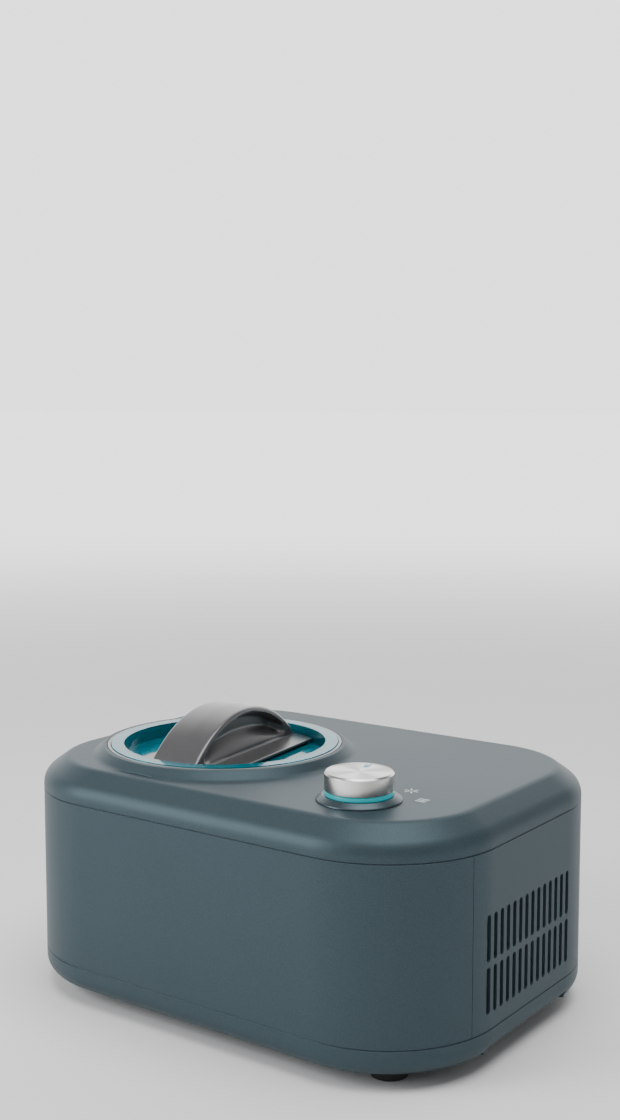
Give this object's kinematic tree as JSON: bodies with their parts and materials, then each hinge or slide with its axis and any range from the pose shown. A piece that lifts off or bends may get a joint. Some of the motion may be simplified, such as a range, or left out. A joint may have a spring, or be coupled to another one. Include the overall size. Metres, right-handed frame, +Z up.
{
  "type": "ice cream maker",
  "caption": "Countertop compressor ice cream maker with a lift-out bucket, a motor lid with an arch grip, a paddle, a lit control knob and a vented end.",
  "frame": {"origin": "on the floor under the centre of the housing", "axes": "+Z up, +X towards the vented end, +Y to the back"},
  "size_m": [0.385, 0.286, 0.2121],
  "materials": {
    "body_paint": "metallic blue-grey satin",
    "collar_plastic": "pearlescent grey",
    "liner_metal": "satin",
    "copper": "drawn copper",
    "foam": "expanded foam",
    "black_plastic": "matt black",
    "foot_rubber": "matt rubber",
    "steel": "zinc plated",
    "compressor_paint": "black enamel",
    "fin_metal": "pressed fins",
    "board": "lacquered board",
    "brass": "plain",
    "dark_trim": "dark satin",
    "glow": "lit turquoise",
    "icon": "translucent white",
    "knob_metal": "spun",
    "pointer": "light blue",
    "seal": "silicone",
    "lid_tint": "translucent teal",
    "arch_grey": "pearlescent grey",
    "gear_plastic": "acetal",
    "paddle_white": "translucent white",
    "bucket_metal": "brushed",
    "wire": "polished wire"
  },
  "bodies": {
    "housing": {"base_tray": "body_paint", "wrap_shell": "body_paint", "vent_panel": "body_paint", "top_cover": "body_paint", "well_collar": "collar_plastic", "well_liner": "liner_metal", "evaporator_coil": "copper", "insulation_foam": "foam", "contact_socket": "black_plastic", "feet": "foot_rubber", "foot_screws": "steel", "case_screws": "steel", "bulkhead": "steel", "compressor_plate": "steel", "grommets": "foot_rubber", "mount_screws": "steel", "compressor": "compressor_paint", "condenser": "fin_metal", "fan_shroud": "black_plastic", "fan_motor": "steel", "discharge_pipe": "copper", "suction_pipe": "copper", "filter_drier": "copper", "liquid_pipe": "copper", "capillary_tube": "copper", "power_board": "board", "power_board_posts": "black_plastic", "control_board": "board", "board_posts": "black_plastic", "power_inlet": "black_plastic", "inlet_pins": "brass", "knob_base_ring": "dark_trim", "light_ring": "glow", "selector_switch": "black_plastic", "icon_inlays": "icon"},
    "fan": {"fan_rotor": "black_plastic"},
    "knob": {"knob_cap": "knob_metal", "knob_hub": "black_plastic", "knob_pointer": "pointer", "knob_spindle": "steel"},
    "seal": {"lid_seal": "seal"},
    "lid": {"lid_tray": "lid_tint", "arch_insert": "arch_grey", "motor_can": "steel", "motor_plate": "steel", "lid_screws": "steel", "shaft_bush": "brass", "contact_blades": "brass"},
    "drive": {"drive_shaft": "steel", "output_gear": "gear_plastic"},
    "motor_rotor": {"motor_pinion": "gear_plastic", "motor_shaft": "steel", "motor_armature": "steel"},
    "paddle": {"paddle": "paddle_white"},
    "bucket": {"bucket": "bucket_metal", "bucket_ears": "steel", "ear_rivets": "steel"},
    "bail": {"bail": "wire"}
  },
  "joints": [
    {"name": "lid_lift", "type": "slide", "parent": "housing", "child": "seal", "axis": [0, 0, 1], "range_m": [0, 0.507]},
    {"name": "lid_twist", "type": "hinge", "parent": "seal", "child": "lid", "pos_m": [-0.067, -0.019, 0.18], "axis": [0, 0, -1], "range_deg": [0, 12.5]},
    {"name": "drive_spin", "type": "hinge", "parent": "lid", "child": "drive", "pos_m": [-0.067, -0.019, 0.17], "axis": [0, 0, 1], "continuous": true},
    {"name": "motor_spin", "type": "hinge", "parent": "lid", "child": "motor_rotor", "pos_m": [-0.07041, 0.00879, 0.17], "axis": [0, 0, 1], "continuous": true},
    {"name": "paddle_drop", "type": "slide", "parent": "drive", "child": "paddle", "axis": [0, 0, 1], "range_m": [-0.03, 0]},
    {"name": "bucket_lift", "type": "slide", "parent": "housing", "child": "bucket", "axis": [0, 0, 1], "range_m": [0, 0.24]},
    {"name": "bail_swing", "type": "hinge", "parent": "bucket", "child": "bail", "pos_m": [-0.067, -0.019, 0.1653], "axis": [0.1736, 0.9848, 0], "range_deg": [0, 180]},
    {"name": "knob_turn", "type": "hinge", "parent": "housing", "child": "knob", "pos_m": [0.1, -0.079, 0.19], "axis": [0, 0, 1], "range_deg": [-73, 0]},
    {"name": "fan_spin", "type": "hinge", "parent": "housing", "child": "fan", "pos_m": [0.14, -0.004, 0.077], "axis": [1, 0, 0], "continuous": true}
  ],
  "couplings": [
    {"joint": "motor_spin", "follows": "drive_spin", "ratio": -3},
    {"joint": "paddle_drop", "follows": "lid_lift", "ratio": -0.05},
    {"joint": "bucket_lift", "follows": "lid_lift", "ratio": 0.4576},
    {"joint": "bail_swing", "follows": "lid_lift", "rad_per_m": 3.0982}
  ]
}
